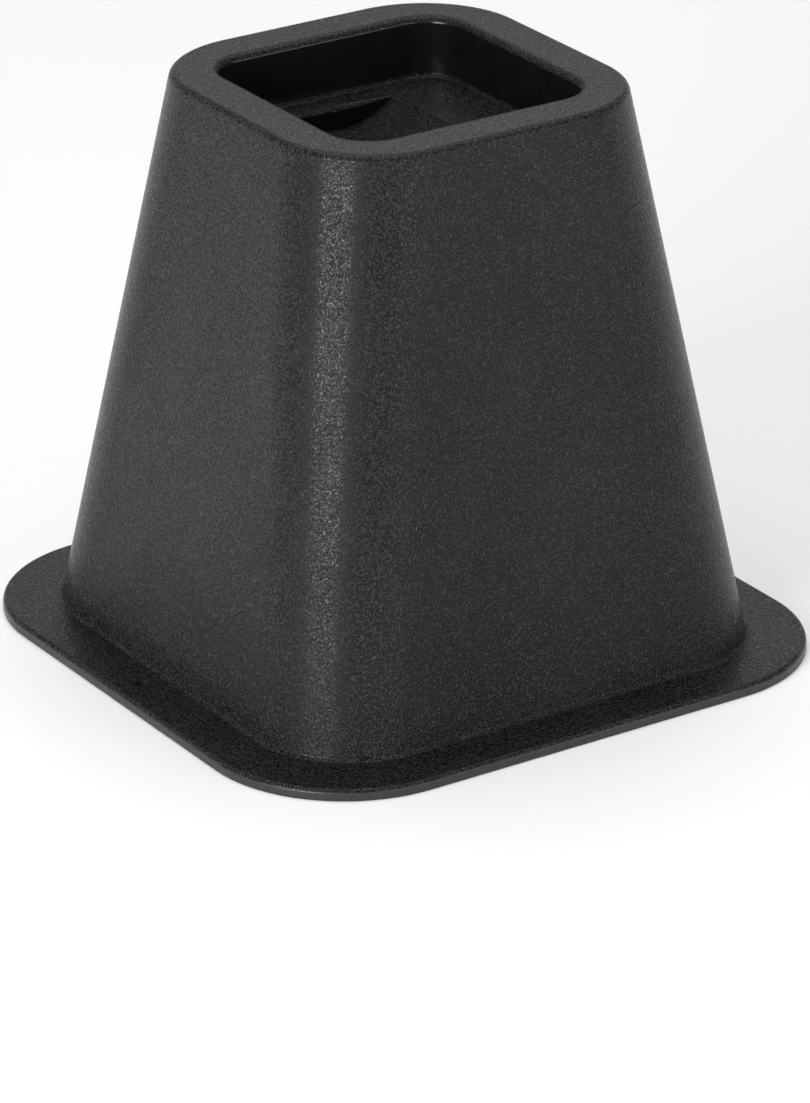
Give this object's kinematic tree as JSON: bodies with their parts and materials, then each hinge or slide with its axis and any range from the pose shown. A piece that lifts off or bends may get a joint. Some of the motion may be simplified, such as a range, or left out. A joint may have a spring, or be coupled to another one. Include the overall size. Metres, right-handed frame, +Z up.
{
  "type": "bed riser",
  "caption": "Square tapered plastic riser with a broad floor flange and a shallow cup on top that takes the leg or the caster of a bed.",
  "frame": {"origin": "middle of the flange's underside, on the floor", "axes": "+Z up from the floor to the cup, Y along the trough for the caster's wheel, -X towards the nail hole in the flange"},
  "size_m": [0.19, 0.19, 0.1663],
  "materials": {
    "charcoal_plastic": "charcoal plastic with a fine pebbled grain, smooth inside the cup's walls"
  },
  "bodies": {
    "root": {"riser_moulding": "charcoal_plastic"}
  },
  "joints": []
}
